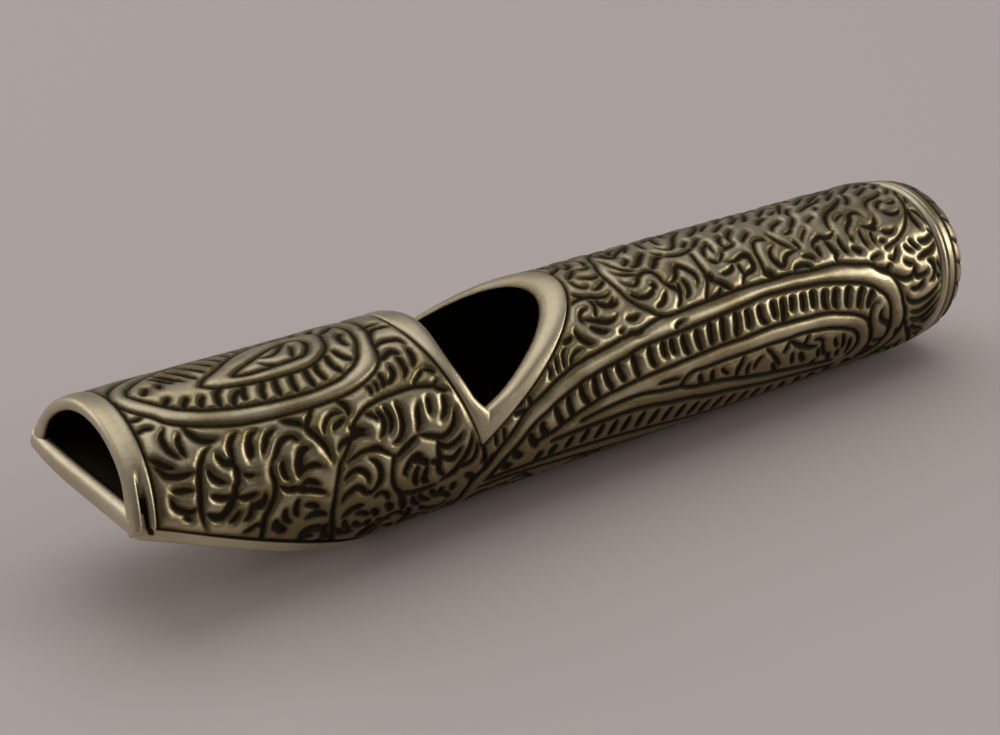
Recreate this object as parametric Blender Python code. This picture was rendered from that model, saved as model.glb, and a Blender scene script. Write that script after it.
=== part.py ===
# Tube whistle with a slanted beak, a V-shaped window and a rounded closed end, made of sheet silver.
# The mouth is at -X, the closed end at +X and the window on top. Units are metres, +Z is up.
# The origin is under the middle of the whistle, on the surface that it lies on.

from math import atan2, cos, pi, radians, sin, tan

import bmesh
import bpy
from mathutils import Matrix, Vector

# Whole whistle
OVERALL_LENGTH = 0.0600
TUBE_RADIUS = 0.0055
WALL = 0.0005
SOLDER_GAP = 0.0002             # between pieces that are soldered together

# Beak: a flat sole under the mouth and a band round the mouth's upper edge
BEAK_LENGTH = 0.0146            # lip to the heel, where the sole meets the underside
LIP_HEIGHT = 0.00187            # tube's lower edge at the lip, above the tube's axis
SOLE_THICKNESS = 0.0005
MOUTH_RAKE = radians(6.4)       # the mouth's face leans back at the top
BAND_WIDTH = 0.0011

# Windway: a floor plate from the lip to the window, with a wall under its far end
FLOOR_THICKNESS = 0.0006
FLOOR_SETBACK = 0.0003          # from the floor's end to the window's front edge
SLIT_HEIGHT = 0.0010            # between the floor's end and the tube's top
STOP_THICKNESS = 0.0006

# Window: a V-shaped notch with a plain frame round it
WINDOW_POSITION = 0.0201        # lip to the bottom of the notch
WINDOW_BOTTOM = 0.00134         # bottom of the notch above the tube's axis
WINDOW_LEAN = radians(20.8)     # front edge, from upright towards the mouth
LABIUM_SLOPE = radians(28.3)    # rear edge, from the tube's axis
FRAME_FRONT = 0.00078           # width of the frame before the window
FRAME_REAR = 0.0005             # and behind it

# Closed end: a drawn-in shoulder, a plain ring and a rounded cap
SHOULDER_LENGTH = 0.0011
SHOULDER_DROP = 0.00028         # from the tube's side down to the cap's
CAP_LENGTH = 0.0026
CAP_FLAT_RADIUS = 0.0024        # flat middle of the end
CAP_SKIRT = 0.0003              # straight part next to the ring
CAP_WALL = 0.0005
RING_WIDTH = 0.00065
RING_PROUD = 0.00012            # crest of the ring above the cap

# Facets of the round shapes
SEGMENTS = 64
ARC_STEPS = 6
SHARP_ANGLE = radians(30)
MERGE_DISTANCE = 1e-7

# Colours and roughness
SILVER = (0.56, 0.53, 0.45)
PLAIN_SILVER = (0.72, 0.69, 0.61)
TARNISHED_SILVER = (0.16, 0.14, 0.12)
CHASED_ROUGHNESS = 0.38
PLAIN_ROUGHNESS = 0.28
TARNISHED_ROUGHNESS = 0.55

# Places along the tube and heights above its axis
LIP_X = -OVERALL_LENGTH / 2
END_X = OVERALL_LENGTH / 2
BORE_RADIUS = TUBE_RADIUS - WALL
INNER_RADIUS = BORE_RADIUS - SOLDER_GAP
CAP_RADIUS = TUBE_RADIUS - SHOULDER_DROP
BLANK_X = LIP_X - TUBE_RADIUS                   # blanks start ahead of the lip and are cut back
CAP_X = END_X - CAP_LENGTH
RING_X = CAP_X - SOLDER_GAP - RING_WIDTH
TUBE_END_X = RING_X - SOLDER_GAP
SHOULDER_X = TUBE_END_X - SHOULDER_LENGTH
BEAK_ANGLE = atan2(LIP_HEIGHT + TUBE_RADIUS, BEAK_LENGTH)
LIP_BOTTOM = LIP_HEIGHT - (SOLDER_GAP + SOLE_THICKNESS) / cos(BEAK_ANGLE)
REACH = 2 * (OVERALL_LENGTH + TUBE_RADIUS)      # longer than anything that is cut

HEEL = Vector((LIP_X + BEAK_LENGTH, 0, -TUBE_RADIUS))
SOLE_DOWN = Vector((-sin(BEAK_ANGLE), 0, -cos(BEAK_ANGLE)))
LIP = Vector((LIP_X, 0, LIP_BOTTOM))
MOUTH_FORWARD = Vector((-cos(MOUTH_RAKE), 0, sin(MOUTH_RAKE)))
ALONG_TUBE = Vector((1, 0, 0))

NOTCH = Vector((LIP_X + WINDOW_POSITION, 0, WINDOW_BOTTOM))
FRONT_UP = Vector((-sin(WINDOW_LEAN), 0, cos(WINDOW_LEAN)))
LABIUM_UP = Vector((cos(LABIUM_SLOPE), 0, sin(LABIUM_SLOPE)))

SLIT_Z = BORE_RADIUS - SLIT_HEIGHT
WINDOW_FRONT_X = NOTCH.x - (SLIT_Z - NOTCH.z) * tan(WINDOW_LEAN)
FLOOR_END_X = WINDOW_FRONT_X - FLOOR_SETBACK
FLOOR_END = Vector((FLOOR_END_X, 0, SLIT_Z))
FLOOR_RISE = atan2(SLIT_Z - LIP_HEIGHT - FLOOR_THICKNESS, FLOOR_END_X - LIP_X)
FLOOR_UP = Vector((-sin(FLOOR_RISE), 0, cos(FLOOR_RISE)))


def clear_scene():
    for old in list(bpy.data.objects):
        bpy.data.objects.remove(old, do_unlink=True)


def add_object(name, bm, parent):
    bmesh.ops.recalc_face_normals(bm, faces=bm.faces)
    mesh = bpy.data.meshes.new(name)
    bm.to_mesh(mesh)
    bm.free()
    piece = bpy.data.objects.new(name, mesh)
    piece.parent = parent
    bpy.context.collection.objects.link(piece)
    return piece


def silver(name, colour, roughness):
    material = bpy.data.materials.new(name)
    material.use_nodes = True
    shader = material.node_tree.nodes["Principled BSDF"]
    shader.inputs["Base Color"].default_value = (*colour, 1)
    shader.inputs["Metallic"].default_value = 1
    shader.inputs["Roughness"].default_value = roughness
    return material


def quarter(start, end, leave_along_axis=True):
    # Points of a quarter ellipse between two (x, radius) points, without the first.
    points = []
    for step in range(1, ARC_STEPS + 1):
        turn = pi / 2 * step / ARC_STEPS
        along, across = (sin(turn), 1 - cos(turn)) if leave_along_axis else (1 - cos(turn), sin(turn))
        points.append((start[0] + (end[0] - start[0]) * along, start[1] + (end[1] - start[1]) * across))
    return points


def turned(name, profile, parent):
    # Closed outline of (x, radius) points turned about the tube's axis. A flat of every round lies
    # at its radius and one flat faces down, so that the whistle lies on it.
    half_facet = pi / SEGMENTS
    bm = bmesh.new()
    corners = []
    for x, radius in profile:
        corner = radius / cos(half_facet)
        corners.append(bm.verts.new((x, corner * sin(half_facet), -corner * cos(half_facet))))
    edges = [bm.edges.new((a, b)) for a, b in zip(corners, corners[1:] + corners[:1])]
    bmesh.ops.spin(bm, geom=corners + edges, cent=(0, 0, 0), axis=(1, 0, 0), angle=2 * pi,
                   steps=SEGMENTS, use_merge=True)
    bmesh.ops.remove_doubles(bm, verts=bm.verts, dist=MERGE_DISTANCE)
    along_axis = [edge for edge in bm.edges if edge.is_wire]
    bmesh.ops.delete(bm, geom=along_axis, context="EDGES")
    return add_object(name, bm, parent)


def bar(name, radius, start_x, end_x, parent):
    # Plain round bar, closed at both ends.
    bm = bmesh.new()
    turn = Matrix.Rotation(pi / 2, 4, "Y") @ Matrix.Rotation(pi / SEGMENTS, 4, "Z")
    place = Matrix.Translation(((start_x + end_x) / 2, 0, 0)) @ turn
    corner = radius / cos(pi / SEGMENTS)
    bmesh.ops.create_cone(bm, cap_ends=True, segments=SEGMENTS, radius1=corner, radius2=corner,
                          depth=end_x - start_x, matrix=place)
    return add_object(name, bm, parent)


def cutter(name, bm, parent):
    tool = add_object(name, bm, parent)
    tool.hide_render = True
    tool.display_type = "WIRE"
    return tool


def half_space(name, point, direction, parent):
    # Block that starts at a plane through the point and fills everything along the direction.
    bm = bmesh.new()
    turn = direction.to_track_quat("Z", "Y").to_matrix().to_4x4()
    place = Matrix.Translation(point) @ turn @ Matrix.Translation((0, 0, REACH / 2))
    bmesh.ops.create_cube(bm, size=REACH, matrix=place)
    return cutter(name, bm, parent)


def notch_wedge(name, front_shift, rear_shift, parent):
    # Wedge across the tube over the window, with its two faces moved outwards.
    spread = cos(WINDOW_LEAN - LABIUM_SLOPE)
    bottom = NOTCH - (FRONT_UP * rear_shift + LABIUM_UP * front_shift) / spread
    across = Vector((0, 2 * TUBE_RADIUS, 0))
    outline = [bottom, bottom + LABIUM_UP * REACH, bottom + FRONT_UP * REACH]
    bm = bmesh.new()
    face = bm.faces.new([bm.verts.new(point - across) for point in outline])
    grown = bmesh.ops.extrude_face_region(bm, geom=[face])["geom"]
    moved = [part for part in grown if isinstance(part, bmesh.types.BMVert)]
    bmesh.ops.translate(bm, verts=moved, vec=2 * across)
    return cutter(name, bm, parent)


def cut(piece, tool, operation="DIFFERENCE"):
    modifier = piece.modifiers.new(tool.name, "BOOLEAN")
    modifier.operation = operation
    modifier.object = tool


def tube_profile():
    outside = [(BLANK_X, TUBE_RADIUS), (SHOULDER_X, TUBE_RADIUS)]
    outside += quarter((SHOULDER_X, TUBE_RADIUS), (TUBE_END_X, CAP_RADIUS))
    inside = [(x, radius - WALL) for x, radius in reversed(outside)]
    return outside + inside


def straight_blank(name, parent):
    # Straight length of the tube's wall, which the band and the frame are cut from.
    ends = [(BLANK_X, TUBE_RADIUS), (SHOULDER_X, TUBE_RADIUS)]
    return turned(name, ends + [(x, BORE_RADIUS) for x, _ in reversed(ends)], parent)


def make_tube(parent, mouth_blocks, below_sole):
    tube = turned("barrel_tube", tube_profile(), parent)
    cut(tube, mouth_blocks["tube"])
    cut(tube, below_sole)
    cut(tube, notch_wedge("frame_seat", FRAME_FRONT + SOLDER_GAP, FRAME_REAR + SOLDER_GAP, parent))
    tube.data.materials.append(silver("chased_silver", SILVER, CHASED_ROUGHNESS))
    return tube


def make_mouth_band(parent, mouth_blocks, below_sole):
    band = straight_blank("mouth_band", parent)
    cut(band, mouth_blocks["front"])
    cut(band, mouth_blocks["band"])
    cut(band, below_sole)
    band.data.materials.append(silver("band_silver", PLAIN_SILVER, PLAIN_ROUGHNESS))
    return band


def make_window_frame(parent):
    frame = straight_blank("window_frame", parent)
    cut(frame, notch_wedge("frame_outside", FRAME_FRONT, FRAME_REAR, parent), "INTERSECT")
    cut(frame, notch_wedge("window_opening", 0, 0, parent))
    frame.data.materials.append(silver("frame_silver", PLAIN_SILVER, PLAIN_ROUGHNESS))
    return frame


def make_sole(parent, mouth_blocks):
    sole = bar("sole_plate", TUBE_RADIUS, BLANK_X, HEEL.x, parent)
    top = HEEL + SOLE_DOWN * SOLDER_GAP
    cut(sole, half_space("above_sole_plate", top, -SOLE_DOWN, parent))
    cut(sole, half_space("below_sole_plate", top + SOLE_DOWN * SOLE_THICKNESS, SOLE_DOWN, parent))
    cut(sole, mouth_blocks["front"])
    sole.data.materials.append(silver("sole_silver", PLAIN_SILVER, PLAIN_ROUGHNESS))
    return sole


def make_windway_floor(parent, mouth_blocks, below_sole):
    floor = bar("windway_floor", INNER_RADIUS, BLANK_X, FLOOR_END_X, parent)
    underside = FLOOR_END - FLOOR_UP * FLOOR_THICKNESS
    cut(floor, half_space("above_floor", FLOOR_END, FLOOR_UP, parent))
    cut(floor, half_space("below_floor", underside, -FLOOR_UP, parent))
    cut(floor, mouth_blocks["front"])
    cut(floor, below_sole)
    floor.data.materials.append(silver("floor_silver", PLAIN_SILVER, PLAIN_ROUGHNESS))
    return floor


def make_stop_wall(parent, below_sole):
    wall = bar("stop_wall", INNER_RADIUS, FLOOR_END_X - STOP_THICKNESS, FLOOR_END_X, parent)
    seat = FLOOR_END - FLOOR_UP * (FLOOR_THICKNESS + SOLDER_GAP)
    cut(wall, half_space("above_stop_wall", seat, FLOOR_UP, parent))
    cut(wall, below_sole)
    wall.data.materials.append(silver("wall_silver", TARNISHED_SILVER, TARNISHED_ROUGHNESS))
    return wall


def make_end_ring(parent):
    middle_x = RING_X + RING_WIDTH / 2
    crest = (middle_x, CAP_RADIUS + RING_PROUD)
    outside = [(RING_X, CAP_RADIUS)]
    outside += quarter((RING_X, CAP_RADIUS), crest, leave_along_axis=False)
    outside += quarter(crest, (RING_X + RING_WIDTH, CAP_RADIUS))
    inside = [(RING_X + RING_WIDTH, CAP_RADIUS - WALL), (RING_X, CAP_RADIUS - WALL)]
    ring = turned("end_ring", outside + inside, parent)
    ring.data.materials.append(silver("ring_silver", PLAIN_SILVER, PLAIN_ROUGHNESS))
    return ring


def make_end_cap(parent):
    rim = (CAP_X + CAP_SKIRT, CAP_RADIUS)
    outside = [(CAP_X, CAP_RADIUS), rim]
    outside += quarter(rim, (END_X, CAP_FLAT_RADIUS))
    hollow_rim = (rim[0], CAP_RADIUS - CAP_WALL)
    inside = [(CAP_X, CAP_RADIUS - CAP_WALL), hollow_rim]
    inside += quarter(hollow_rim, (END_X - CAP_WALL, CAP_FLAT_RADIUS))
    middle = [(END_X, 0), (END_X - CAP_WALL, 0)]
    cap = turned("end_cap", outside + middle + inside[::-1], parent)
    cap.data.materials.append(silver("cap_silver", SILVER, CHASED_ROUGHNESS))
    return cap


def settle(piece):
    # Keeps the shape that the cuts leave, with its flat faces and edges crisp.
    shaped = piece.evaluated_get(bpy.context.evaluated_depsgraph_get())
    mesh = bpy.data.meshes.new_from_object(shaped)
    piece.modifiers.clear()
    piece.data = mesh
    mesh.name = piece.name
    mesh.shade_smooth()
    mesh.set_sharp_from_angle(angle=SHARP_ANGLE)


def main():
    clear_scene()
    axis = bpy.data.objects.new("tube_axis", None)
    axis.location.z = TUBE_RADIUS
    bpy.context.collection.objects.link(axis)

    below_sole = half_space("below_sole", HEEL, SOLE_DOWN, axis)
    band_back = LIP + ALONG_TUBE * BAND_WIDTH
    mouth_blocks = {
        "front": half_space("before_mouth", LIP, MOUTH_FORWARD, axis),
        "band": half_space("behind_band", band_back, -MOUTH_FORWARD, axis),
        "tube": half_space("before_tube", band_back + ALONG_TUBE * SOLDER_GAP, MOUTH_FORWARD, axis),
    }
    pieces = [
        make_tube(axis, mouth_blocks, below_sole),
        make_mouth_band(axis, mouth_blocks, below_sole),
        make_window_frame(axis),
        make_sole(axis, mouth_blocks),
        make_windway_floor(axis, mouth_blocks, below_sole),
        make_stop_wall(axis, below_sole),
        make_end_ring(axis),
        make_end_cap(axis),
    ]
    bpy.context.view_layer.update()
    for piece in pieces:
        settle(piece)


main()
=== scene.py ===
import math

import bpy
import numpy as np
from mathutils import Matrix, Vector


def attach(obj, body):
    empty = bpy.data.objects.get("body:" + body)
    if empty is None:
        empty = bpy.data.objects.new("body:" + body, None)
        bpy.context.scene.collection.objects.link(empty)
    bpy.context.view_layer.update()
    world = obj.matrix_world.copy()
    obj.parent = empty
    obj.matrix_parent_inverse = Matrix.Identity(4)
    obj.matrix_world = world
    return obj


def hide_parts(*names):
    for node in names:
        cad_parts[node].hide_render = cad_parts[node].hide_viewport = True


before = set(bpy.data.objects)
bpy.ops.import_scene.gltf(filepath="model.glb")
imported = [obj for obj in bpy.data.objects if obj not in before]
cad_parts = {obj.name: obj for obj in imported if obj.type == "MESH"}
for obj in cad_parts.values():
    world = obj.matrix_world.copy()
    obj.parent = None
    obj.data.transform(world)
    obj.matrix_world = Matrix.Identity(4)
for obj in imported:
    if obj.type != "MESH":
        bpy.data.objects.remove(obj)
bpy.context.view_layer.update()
print("frame loaded:", len(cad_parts), "nodes")

# the tube: metres down to lipX, then tube radii; "along" is counted in radii from the mouth
tube = {
    "radius": 0.0055,
    "axisHeight": 0.0055,
    "wall": 0.0005,
    "lipX": -0.030,
    "lipAlong": 0.022,
    "shoulder": 10.09,
    "end": 10.292,
    "shoulderDrop": 0.044,
    "shoulderWall": 0.09,
    "rows": 512,
    "beakColumns": 270,
    "chamberColumns": 450,
    "boreColumns": 10,
}

# planes of the whistle, all in radii: along = a + b * height above the axis
planes = {
    "mouth": (0.0, 0.112),
    "bandRear": (0.206, 0.131),
    "sole": (0.46, -2.2167),
    "soleSeam": (0.70, -2.2167),
    "frontGroove": (3.62, -0.38),
    "frontEdge": (3.77, -0.38),
    "labium": (3.2257, 1.8587),
    "rearGroove": (3.648, 1.6),
}

# the chasing, in radii: depth of a cut, its steep wall, the rise to the crest, and how far its stain spreads
relief = {
    "cell": 0.006,
    "depth": 0.034,
    "wall": 0.025,
    "wallShare": 0.62,
    "crest": 0.085,
    "stain": 0.074,
    "soften": 6,
    "stainSoften": 3,
    "reach": 0.12,
    "groove": 0.008,
    "tip": 0.006,
}
# half widths of the flat ground of a cut
cutWidth = {"-": 0.010, "T": 0.019, "R": 0.026, "B": 0.008, "W": 0.029}
# how late a cut narrows towards its two ends
cutTaper = {"-": 4, "T": 3, "R": 6, "W": 4}
# on top, from so many degrees up, the cuts are finer and not mirrored
topCuts = {"from": math.radians(64), "finer": 0.62}


def onPlane(name, height):
    a, b = planes[name]
    return a + b * height


# front strip of the window: its groove leans back on both flanks, its edge leans back on top
frontBow = {"flank": 0.020, "top": 0.115}
# degrees: the two strips of the window meet here
windowPoint = -0.8


def foldOver(turn):
    # degrees up from the side, the same on the near and the far flank
    degrees = np.degrees(turn)
    return np.where(degrees > 90, 180 - degrees, degrees)


def flankBow(turn):
    up = np.clip(foldOver(turn) / 90, 0, 1)
    return frontBow["flank"] * np.sin(np.pi * up) * (1 - up**6)


def smoothStep(share):
    share = np.clip(share, 0, 1)
    return share**2 * (3 - 2 * share)


def topBow(turn):
    return frontBow["top"] * smoothStep(foldOver(turn) / 45 - 1)


def toWorld(along, y, z):
    # from radii to world metres; y and z are counted from the tube's axis
    r = tube["radius"]
    x = tube["lipX"] + (np.asarray(along) - tube["lipAlong"]) * r
    return np.stack(np.broadcast_arrays(x, y * r, tube["axisHeight"] + z * r), axis=-1)


def place(along, angle, reach):
    # points round the tube; reach is the distance from the axis in radii
    return toWorld(along, -np.cos(angle) * reach, np.sin(angle) * reach)


# ornament: a map of the unrolled sheet that holds the distance to the nearest drawn cut
alongStart, alongEnd = -0.2, 10.5
alongCount = int(round((alongEnd - alongStart) / relief["cell"])) + 1
roundCount = int(round(2 * math.pi / relief["cell"]))
roundStep = 2 * math.pi / roundCount
roundStart = -math.pi / 2
farOff = 9.0  # no cut near
clear = np.full((alongCount, roundCount), farOff, dtype=np.float32)


def smoothPath(points, step=0.010):
    # smooth curve through given points, evenly sampled
    points = np.asarray(points, dtype=float)
    if len(points) < 2:
        return points
    gaps = np.linalg.norm(np.diff(points, axis=0), axis=1)
    at = np.concatenate([[0.0], np.cumsum(np.maximum(gaps, 1e-6))])
    slopes = np.gradient(points, at, axis=0)
    count = max(3, int(at[-1] / step) + 1)
    want = np.linspace(0.0, at[-1], count)
    k = np.clip(np.searchsorted(at, want, side="right") - 1, 0, len(points) - 2)
    span = (at[k + 1] - at[k])[:, None]
    t = ((want - at[k]) / (at[k + 1] - at[k]))[:, None]
    a, b = points[k], points[k + 1]
    ma, mb = slopes[k] * span, slopes[k + 1] * span
    return (
        (2 * t**3 - 3 * t**2 + 1) * a
        + (t**3 - 2 * t**2 + t) * ma
        + (3 * t**2 - 2 * t**3) * b
        + (t**3 - t**2) * mb
    )


def stamp(path, width):
    # keep the distance to the nearest cut; width is the half width at each point of the path
    run = 28  # points at a time, so that each block of the map stays small
    for first in range(0, len(path), run):
        part = path[first : first + run + 1]
        wide = width[first : first + run + 1]
        low = part.min(axis=0) - relief["reach"]
        high = part.max(axis=0) + relief["reach"]
        i0 = max(0, int((low[0] - alongStart) / relief["cell"]))
        i1 = min(alongCount, int((high[0] - alongStart) / relief["cell"]) + 2)
        j0 = int(math.floor((low[1] - roundStart) / roundStep))
        j1 = int(math.ceil((high[1] - roundStart) / roundStep)) + 1
        if i1 <= i0:
            continue
        s = alongStart + np.arange(i0, i1) * relief["cell"]
        t = roundStart + np.arange(j0, j1) * roundStep
        ds = (s[:, None] - part[:, 0]) ** 2
        dt = (t[:, None] - part[:, 1]) ** 2
        gap = np.full((len(s), len(t)), farOff, dtype=np.float32)
        for n in range(len(part)):
            np.minimum(gap, np.sqrt(ds[:, n][:, None] + dt[:, n][None, :]) - wide[n], out=gap)
        columns = np.arange(j0, j1) % roundCount
        block = clear[i0:i1][:, columns]
        clear[i0:i1, columns] = np.minimum(block, gap)


def carve(points, half, taper=4):
    path = smoothPath(points)
    t = np.linspace(0.0, 1.0, len(path))
    width = np.full(len(path), half)
    if taper:
        width = half - (half + relief["tip"]) * np.abs(2 * t - 1) ** taper
    stamp(path, width)


def carveText(text, mirrored=False):
    # reads the drawn cuts; a mirrored one goes on the far side too, unless it lies on top
    for line in text.split("|"):
        words = line.split()
        kind = words.pop(0) if words[0] in cutWidth else "-"
        points = [[float(v) for v in word.split(",")] for word in words]
        points = [(a / 100, math.radians(b)) for a, b in points]
        middle = sum(b for a, b in points) / len(points)
        half = cutWidth[kind] * (topCuts["finer"] if middle > topCuts["from"] else 1)
        taper = cutTaper.get(kind)
        carve(points, half, taper)
        if mirrored and middle < topCuts["from"]:
            carve([(a, math.pi - b) for a, b in points], half, taper)


# the cuts, drawn on the unrolled sheet: points "along,degrees", along in hundredths of a radius, a bar
# between two cuts; T and W mark wide cuts, R a gap between ribs, B a border line
upperPaisley = """
B 34,88 38,78 46,72 55,67.3 62,62.5 72,59 85,55.8 100,53 120,50 140,48.7 170,47.7 200,47.5 230,48.7
245,50.5 260,53.5 270,56.5 280,61.5 284,66 288,74 293,82 297,90 298,100 294,110 285,118 270,123 245,126
200,127 150,124 110,119 80,113 60,107 46,101 38,95 34,88 | B 50,88 55,82 62,77 70,72.5 80,68 90,65.3 100,63
110,61.5 130,59 150,57.5 170,56.5 200,56 220,57 235,58.5 245,61 255,64 263,68 270,74 276,80 280,87 282,95
279,104 272,111 258,115.5 235,118 200,118.5 150,116 115,112 85,106 65,98.5 54,93 50,88 | B 112,79 120,75.5
130,73.8 145,72 160,71 190,70.5 210,71 225,73.5 233,76 240,79 247,84 251,90 255,97 252,102 240,106 220,108
195,107 175,103 160,98.5 150,94.5 140,90.5 130,87 120,84 112,79 | B 145,80 155,78.5 175,78.5 190,79 210,80
220,81 227,84 232,88 235,92 234,96 230,99 220,100 210,98.5 200,96.5 185,92.5 170,88 155,84 145,80 | 183,89
193,88.5 203,91 210,95 218,98.5 | 210,82 213,86 217,90 220,93 | 224,83 230,87 233,91 234,95 | 178,84
182,81.5 190,80 | R 83,91 80,87 | R 79,77 74,74.5 71,72.5 | R 94,73.5 89,71 85,67.5 | R 107,71.5 102,68
100,65 | R 127,74 120,70.5 117,66 116,62 | R 142,68.5 135,67 130,63.5 128,60.5 | R 147,71 143,67 140,62 | R
166,70 161,66.5 158,62 157.5,59 | R 179,70.5 175.5,67 173.5,62 173,58.5 | R 195,70 191.5,66.5 190,62 190,58
| R 210,71 208,67 207.5,62 208,58 | R 224,72 220,69 220,64 222,60 | R 238,76 236,71 237,66 241,62 | R 248,78
250,73 254,69.5 258,68 | R 272,92 266,88 264,83 265,79 | R 94,88 90,92 86,97 82,101 | R 104,87 98,92 93,99
90,104 | R 116,86 111,92 106,100 103,106 | R 128,90 124,96 119,103 116,109 | R 140,94 137,100 133,107
131,112 | R 152,98 150,104 147,110 146,114 | R 164,102 163,107 161,112 160,116 | R 177,106 176,110 175,114
174,117 | R 191,109 190,113 190,117 | R 206,110 206,114 206,117.5 | R 222,110 223,114 224,117 | R 238,108.5
241,112 244,116 | R 251,104 256,108 261,113 | R 258,98 266,101 275,105 | R 70,90 66,87 62,84.5
"""
mouthpieceSide = """
33,60 40,62 50,61 | T 58,59 53,56 51,52 52,48 56,44 60,41.5 | T 67,54 64,50 63.5,46 65,41.5 | T 74,58
77,52 82,48 90,46 98,45.5 | T 33,46 38,43.5 45,40 52,37.5 | T 34,42 38,39 41,36 46,34.5 55,33.3 68,33.5 | T
40,25 42,20 48,17 57,15 62,16 | 49,14 52,12 55,11 | T 90,43.5 82,41 76,37 72,33 69,28 67,22 65,15 66,8 68,3
| T 140,28 137,22 138,16 136,10 130,4 125,0 123,-6 122,-12 123,-15 | T 91,38.6 93.5,36 96.5,33 101,31.8
105,32.2 | W 99,33 104,32 | T 117,46 110,43.5 106,40 105,36 106,32 | T 135,44 127,42 124,38 123,34 120,31 |
T 152,42 143,40 138,36 133,31.5 | T 169,35 161,36.3 153,35 148.5,32.2 143.7,28.6 139,26 | T 79,33 82,28
88,25 93,23.5 | T 76,20 82,18 90,16.5 95,17 | W 70,12 76,8.7 83,7.8 90,10.5 96,15 100,19.5 | T 90,3 96,5
102,8 | T 104,1.5 109,3 112,6.5 113,10 | T 100,15 108,13.5 120,14 | T 127,13 125,8 120,5 | T 100,22 99,17
97,13 | 103,-5 110,-4 118,-3 122,-5 | T 150,26 148,22 150,17 153,15.5 | T 165,25 163,21 163,17 | W 178,28
170,27.5 166,24 163.5,19 162,15 | T 187,17 178,18.8 168,18 162,15.5 | T 142,14 148,11 158,9.5 168,9 |
160,36.5 166,35.5 170,33 | W 136,-4 136,-8 140,-10 145,-12.5 | T 146,1 145,-4 148,-7 151,-8 | T 160,4 157,1
156,-3 158,-6 | T 163,10.5 170,11.5 176,10 182,8 | T 160,7 170,6.8 178,5 188,2 | T 165,-1 172,-2 180,-5 | T
166,-9 174,-8 182,-9 188,-11 | W 162,-19 170,-17.5 178,-18 187,-20.5 | 160,-22 168,-22 176,-23 | 150,-21
158,-26 168,-28 | 168,-33 178,-30 190,-30 | B 205,15 202,10 199,4 197,-3 195,-10 195.5,-16 198,-22 200,-28
203,-34 206,-42 209,-52 | B 205,15 210,18 217,23 222,27 227,32 235,36 245,39 260,41 280,42 300,42 310,41
320,40 325,41.5 | T 197,18 196,22 193,27 188,32 182,38 188,43 193,46 198,48 | T 160,45.5 168,43.5 175,41.5
180,39 | 220,40 212,41 205,39.5 199,36 196,32 | T 220,36.5 212,35 206,33 | T 220,47 225,44 227,40 225,37.5 |
T 205,22 211,25 220,26 232,26.5 238,25 | 210,14 220,16 230,17.5 240,17 250,15 257,12 262,10 | 235,18
245,17.5 252,15.5 | T 206,5 213,8 220,9 228,7 233,3 233,-1 | T 204,-7 208,-3.5 215,-1.5 220,-0.7 226,-3
230,-5.5 235,-6.5 240,-5.5 | T 235,13 242,10 246,5 246,0 242,-4 236,-7 | T 207,-17 212,-14.5 220,-13 228,-13
| 240,-10 247,-9 253,-11 257,-15 | 222,-17.5 230,-19 236,-22 | B 262,10 260,5 259,0 260,-5 263,-9 268,-13
272,-18 276,-23 278,-27 | T 290,17 283,15 272,11.5 263,8 | T 293,5 288,6.5 282,5.5 276,2 273,-2 275,-4 | T
288,0 285,-4 285,-9 287,-11.5 | T 298,-2 296,-6 295,-10 300,-12.5 | 268,-13 278,-15.5 290,-16.5 300,-16.5
310,-16 | T 240,-19 245,-22 247,-25 | T 255,-18 260,-21 263,-25 | T 272,-17 275,-22 278,-26 | T 238,-27
240,-31 | 210,-20 213,-25 220,-30 | T 318,-21 320,-25 | T 332,-20 334,-25 | 306,-20 312,-24 | T 345,-16
352,-19 357,-23 | 285,-20 289,-25 296,-29 | 222,-24 227,-28 234,-30 | 250,-29 257,-32 266,-33 | 292,-20
300,-25 308,-28 | 242,36 250,33.5 253,31 | T 262,37 265,33 266,29 264,25 260,22 | T 275,37 277,32 277,27
275,22 270,18 262,16.5 | T 298,33 295,28 293,22 290,18.5 | 255,50 257,47 256,45 | 263,51 265,48 263,45.5 | T
273,55 273,50 270,46.5 | T 287,58 287,53 282,49.5 275,47.5 | T 300,62 301,57 300,52 295,48 | T 315,65 315,60
313,56 309,53 | T 282,62 288,63.5 295,65.5 300,65 305,62.5 | 318,50 313,48.5 307,46 300,43 | 318,50 324,48.5
328,46 | T 287,71 293,73.5 300,74 308,73.5 314,72 317,68 | T 290,78 295,83 300,86 310,86.5 320,85 | 293,89
300,91 312,91.5 | T 310,35 309,30 308,25.5 | T 326,34 326,29 323,24 318,21 | 320,39 327,36.5 333,35 | T
290,17 298,15.5 307,13.5 315,12 323,13 330,16.5 333,21 334,25 | T 310,11 313,8 320,5.5 328,6 335,8 340,11 |
T 311,11 311,5 312,0 311,-5 314,-9 318,-11.5 | T 315,1 320,-1.5 327,-2.5 333,0 338,3 | T 350,9 349,4 345,-1
340,-5 335,-8 330,-11 322,-13 315,-14.5 | 355,3 355,-2 353,-6 348,-8.5 340,-9.5 335,-10 | T 43,28 48,26.8
55,26 62,25 | T 105,32 105,27 104,23 101,19 | 110,25.5 116,23.5 121,23.3 | T 222,32 230,29 238,28 | T 253,36
257,33 258,28 255,24 250,21.5 | W 124,40 123,36 121.5,32 | W 282,3 288,3.5 294,1.5 299,-1 | T 303,0 308,-2 |
W 113,7 118,7.5 124,9 | 33,69 40,68.5 47,69.5
"""
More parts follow.
